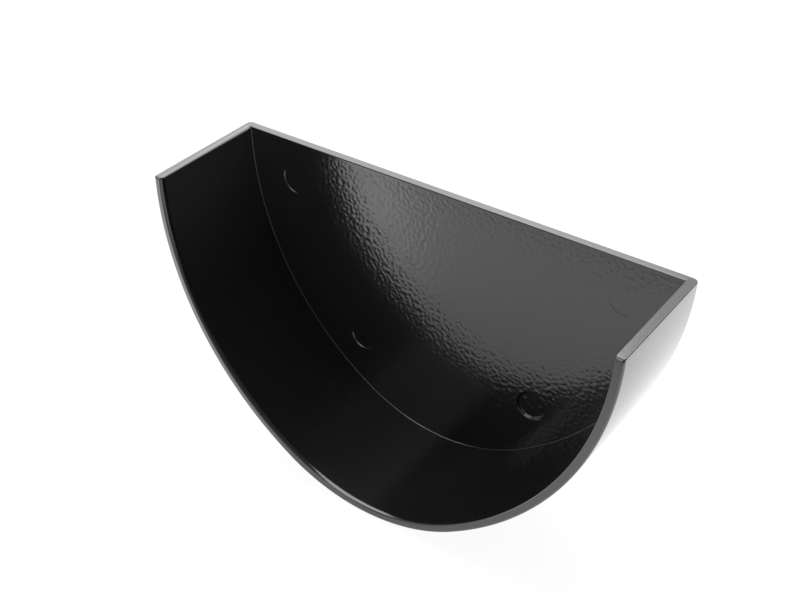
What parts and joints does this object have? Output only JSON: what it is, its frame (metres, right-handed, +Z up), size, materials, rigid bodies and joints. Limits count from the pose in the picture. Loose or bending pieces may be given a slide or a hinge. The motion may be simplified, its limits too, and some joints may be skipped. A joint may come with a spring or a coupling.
{
  "type": "gutter end cap",
  "caption": "Cast end cap for a deep half-round rain gutter: a flat oval end plate with a wall round it that slips over the gutter's end.",
  "frame": {"origin": "on the end plate's inner face, where the gutter's end stops, at the centre of the section's bottom arc", "axes": "+X across the gutter, +Y along the gutter and out through the end plate, +Z up towards the open rim"},
  "size_m": [0.123, 0.035, 0.0734],
  "materials": {
    "powder_coat": "black semi-gloss powder coat with fine orange peel, on die-cast aluminium"
  },
  "bodies": {
    "root": {"end_cap": "powder_coat"}
  },
  "joints": []
}
